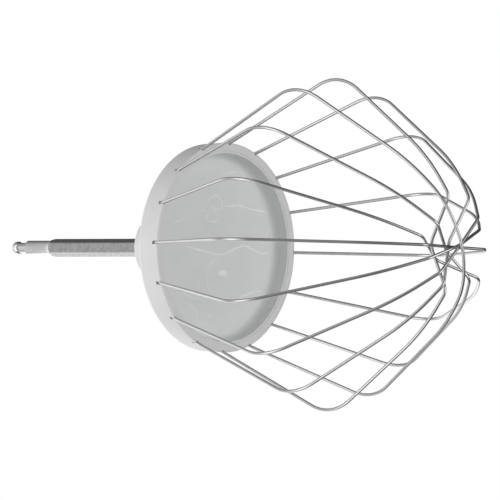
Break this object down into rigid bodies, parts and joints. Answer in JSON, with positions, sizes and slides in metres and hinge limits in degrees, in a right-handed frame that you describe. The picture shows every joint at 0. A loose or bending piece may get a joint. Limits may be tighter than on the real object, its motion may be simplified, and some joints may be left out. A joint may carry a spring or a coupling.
{
  "type": "balloon whisk",
  "caption": "Balloon whisk attachment for a kitchen mixer: a moulded bell cap on a hexagonal drive shaft, with a flared cage of crossing steel wire loops.",
  "frame": {"origin": "on the shaft's axis, at the shoulder where the round neck meets the hexagon, which is where the shaft seats in the mixer's drive socket", "axes": "+Z along the shaft, from the wire cage up to the ball end; +X lies in the plane of the first wire loop; -Y points out of one flat of the hexagon"},
  "size_m": [0.1459, 0.1453, 0.263],
  "materials": {
    "stainless_wire": "bright drawn stainless spring wire",
    "shaft_steel": "satin drawn and turned stainless steel",
    "cap_plastic": "satin white moulded plastic",
    "disc_plastic": "smooth pale grey-white moulded plastic with faint flow lines",
    "inner_steel": "plain stamped steel"
  },
  "bodies": {
    "root": {"drive_shaft": "shaft_steel", "bell_cap": "cap_plastic", "inner_disc": "disc_plastic", "wire_clamp_ring": "inner_steel", "thrust_washer": "inner_steel", "retaining_ring": "inner_steel", "whisk_wire_1": "stainless_wire", "whisk_wire_2": "stainless_wire", "whisk_wire_3": "stainless_wire", "whisk_wire_4": "stainless_wire", "whisk_wire_5": "stainless_wire", "whisk_wire_6": "stainless_wire", "whisk_wire_7": "stainless_wire", "whisk_wire_8": "stainless_wire"}
  },
  "joints": []
}
